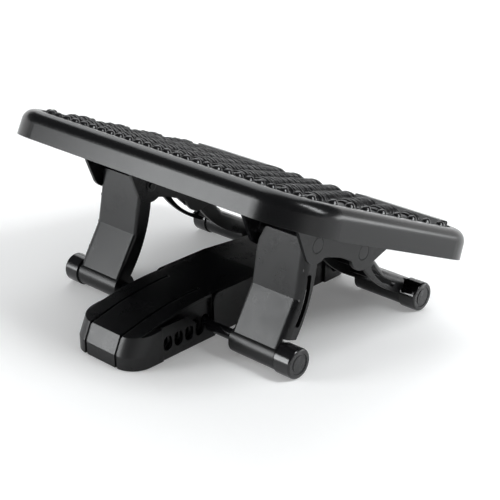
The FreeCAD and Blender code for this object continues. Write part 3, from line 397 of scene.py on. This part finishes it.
def beadBalls(u, v, s):
    # half balls in single file inside the outline: height = h * sqrt(1 - (away / r)^2)
    pitch = s["beadPitch"]
    sideV = 2 * pitch * np.clip(np.round(v / (2 * pitch)), *s["sideBeads"])
    away = np.hypot(np.abs(u) - s["beadReach"], v - sideV)
    toeU = pitch * np.clip(np.round(u / pitch), -s["toeBeads"], s["toeBeads"])
    away = np.minimum(away, np.hypot(u - toeU, v - s["toeReach"]))
    turnU, turnV = s["turnCentre"]
    for angle in np.linspace(*s["turnAngles"], s["turnBeads"]):
        beadU = turnU + s["turnRadius"] * math.cos(angle)
        beadV = turnV + s["turnRadius"] * math.sin(angle)
        away = np.minimum(away, np.hypot(np.abs(u) - beadU, v - beadV))
    return s["beadHeight"] * np.sqrt(np.clip(1 - (away / s["beadRadius"]) ** 2, 0, 1))


def makeMat():
    s = matSpec
    halfU = traySpec["width"] / 2 - s["inset"]
    halfV = traySpec["length"] / 2 - s["inset"]
    # u = a * halfWidth(v): full width between the corners, narrowing on a circle inside them
    v = np.linspace(-halfV, halfV, s["rows"])[:, None] * np.ones((1, s["columns"]))
    intoCorner = np.clip(np.abs(v) - (halfV - s["corner"]), 0, s["corner"])
    halfWidth = halfU - s["corner"] + np.sqrt(s["corner"] ** 2 - intoCorner ** 2)
    u = np.linspace(-1, 1, s["columns"])[None, :] * halfWidth
    # humps with ridges of depth * cos(2 pi v / period), and beads, whichever is higher
    caps, ridgeMask = humpCaps(u, v, s)
    ridges = s["ridgeDepth"] * np.cos(2 * np.pi * v / s["ridgePeriod"]) * ridgeMask
    height = np.maximum(caps + ridges, beadBalls(u, v, s))
    # strips: two plain bands along the heel edge
    fromHeel = v + halfV
    strip = (fromHeel > s["stripInset"]) & (fromHeel < s["stripInset"] + s["stripWidth"])
    beside = (np.abs(u) < s["stripHalf"]) & (np.abs(u) > s["stripGap"])
    height = np.where(strip & beside, s["stripHeight"], height)
    # w = seat + thickness * lip + height, where the lip rounds up and the height fades in at the outline
    inward = cornerRoom(u, v, halfU, halfV, s["corner"])
    lip = 1 - s["lipShare"] * (1 - np.sqrt(np.clip(inward / s["lipWidth"], 0, 1)))
    w = s["seat"] + s["thickness"] * lip + height * np.clip(inward / s["fadeWidth"], 0, 1)
    top = trayPoint(u, v, w).reshape(-1, 3)
    faces, rim = slabFaces(s["rows"], s["columns"])
    under = trayPoint(u.reshape(-1)[rim], v.reshape(-1)[rim], np.full(len(rim), s["seat"]))
    mat = putMesh("massageMat", np.concatenate((top, under)), faces, "matRubber", "platform")
    for label, values in (("ridgeReach", v), ("ridgeMask", ridgeMask)):
        full = np.concatenate((values.reshape(-1), np.zeros(len(rim)))).astype(np.float32)
        mat.data.attributes.new(label, "FLOAT", "POINT").data.foreach_set("value", full)
    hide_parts("massage_mat")
    return mat


mat = makeMat()
ridgeTheMat(finishes["matRubber"], matSpec["ridgePeriod"], matSpec["ridgeDepth"])
print("mat made:", len(mat.data.polygons), "faces")


# stage: a wide pale floor, and a white wall far off all round
stageSpec = dict(paint=(0.92, 0.92, 0.92), roughness=0.9, floorReach=26.0,
                 nearLift=0.15, farLift=0.75, evenReach=(0.9, 3.5),  # the floor's glow and where it grows
                 wallRadius=24.0, wallFoot=-0.01, wallHeight=5.0, wallSides=96, worldStrength=0.06)


def stagePiece(name, points, faces):
    mesh = bpy.data.meshes.new(name)
    mesh.from_pydata(points, [], faces)
    piece = bpy.data.objects.new(name, mesh)
    scene.collection.objects.link(piece)
    material = bpy.data.materials.new(name + "Paint")
    material.use_nodes = True
    shader = material.node_tree.nodes["Principled BSDF"]
    shader.inputs["Base Color"].default_value = (*stageSpec["paint"], 1)
    shader.inputs["Roughness"].default_value = stageSpec["roughness"]
    shader.inputs["Specular IOR Level"].default_value = 0.0
    shader.inputs["Emission Color"].default_value = (1, 1, 1, 1)
    mesh.materials.append(material)
    return material.node_tree, shader.inputs["Emission Strength"]


def seenRays(tree):
    # 1 where the camera, a mirror or a clear piece looks, and 0 for the light that falls on things
    path = addNode(tree, "ShaderNodeLightPath")
    seen = mathNode(tree, "MAXIMUM", path.outputs["Is Camera Ray"], path.outputs["Is Glossy Ray"])
    return mathNode(tree, "MAXIMUM", seen, path.outputs["Is Transmission Ray"])


def makeFloor():
    s = stageSpec
    far = s["floorReach"]
    corners = [(-far, -far, 0), (far, -far, 0), (far, far, 0), (-far, far, 0)]
    tree, strength = stagePiece("floor", corners, [(0, 1, 2, 3)])
    # the glow grows smoothly from nearLift to farLift with the distance from the footrest,
    # so the floor keeps its shadow and meets the wall in white
    coords = addNode(tree, "ShaderNodeTexCoord")
    away = addNode(tree, "ShaderNodeVectorMath", operation="LENGTH")
    tree.links.new(coords.outputs["Object"], away.inputs[0])
    ramp = addNode(tree, "ShaderNodeMapRange", interpolation_type="SMOOTHSTEP")
    tree.links.new(away.outputs["Value"], ramp.inputs["Value"])
    ramp.inputs["From Min"].default_value, ramp.inputs["From Max"].default_value = s["evenReach"]
    ramp.inputs["To Min"].default_value = s["nearLift"]
    ramp.inputs["To Max"].default_value = s["farLift"]
    tree.links.new(mathNode(tree, "MULTIPLY", seenRays(tree), ramp.outputs["Result"]), strength)


def makeWall():
    # two rings of points, radius * (cos turn, sin turn), joined by quads that face in
    s = stageSpec
    sides = s["wallSides"]
    turn = np.linspace(0, 2 * math.pi, sides, endpoint=False)
    ring = s["wallRadius"] * np.stack((np.cos(turn), np.sin(turn)), axis=-1)
    low = np.column_stack((ring, np.full(sides, s["wallFoot"])))
    high = np.column_stack((ring, np.full(sides, s["wallHeight"])))
    here = np.arange(sides)
    following = np.roll(here, -1)
    quads = np.stack((here, here + sides, following + sides, following), axis=-1)
    tree, strength = stagePiece("wall", np.concatenate((low, high)).tolist(), quads.tolist())
    tree.links.new(seenRays(tree), strength)


def makeWorld():
    world = bpy.data.worlds.new("studio")
    scene.world = world
    world.use_nodes = True
    background = world.node_tree.nodes["Background"]
    background.inputs["Color"].default_value = (1, 1, 1, 1)
    background.inputs["Strength"].default_value = stageSpec["worldStrength"]


# panels: heading and rise as seen from the footrest, in degrees
lampSpecs = {
    "toePanel": dict(heading=54, rise=13, away=2.6, size=(1.0, 1.2), power=38),
    "heelPanel": dict(heading=231, rise=4, away=2.6, size=(1.4, 0.5), power=13),
    "keyBox": dict(heading=198, rise=45, away=2.0, size=(0.45, 1.2), power=26),
    "backPanel": dict(heading=-48, rise=42, away=3.0, size=(2.4, 2.8), power=40),
}
lampColour = (0.98, 1.0, 1.01)
lampTarget = (0, 0, 0.12)
softSky = dict(tilt=(0.10, 0.06), spread=120, strength=0.8)


def makePanel(name, spec):
    data = bpy.data.lights.new(name, "AREA")
    data.shape = "RECTANGLE"
    data.size, data.size_y = spec["size"]
    data.energy = spec["power"]
    data.color = lampColour
    lamp = bpy.data.objects.new(name, data)
    heading, rise = math.radians(spec["heading"]), math.radians(spec["rise"])
    level = math.cos(rise)
    out = Vector((math.cos(heading) * level, math.sin(heading) * level, math.sin(rise)))
    lamp.location = Vector(lampTarget) + spec["away"] * out
    aimAlong(lamp, -out)
    scene.collection.objects.link(lamp)


def makeSoftSky():
    # a very wide sun from above, for soft shadows on the floor, kept out of the reflections
    data = bpy.data.lights.new("softSky", "SUN")
    data.energy = softSky["strength"]
    data.angle = math.radians(softSky["spread"])
    lamp = bpy.data.objects.new("softSky", data)
    lamp.rotation_euler = (*softSky["tilt"], 0)
    lamp.visible_glossy = False
    scene.collection.objects.link(lamp)


makeFloor()
makeWall()
makeWorld()
for name, spec in lampSpecs.items():
    makePanel(name, spec)
makeSoftSky()
print("stage and lamps made")
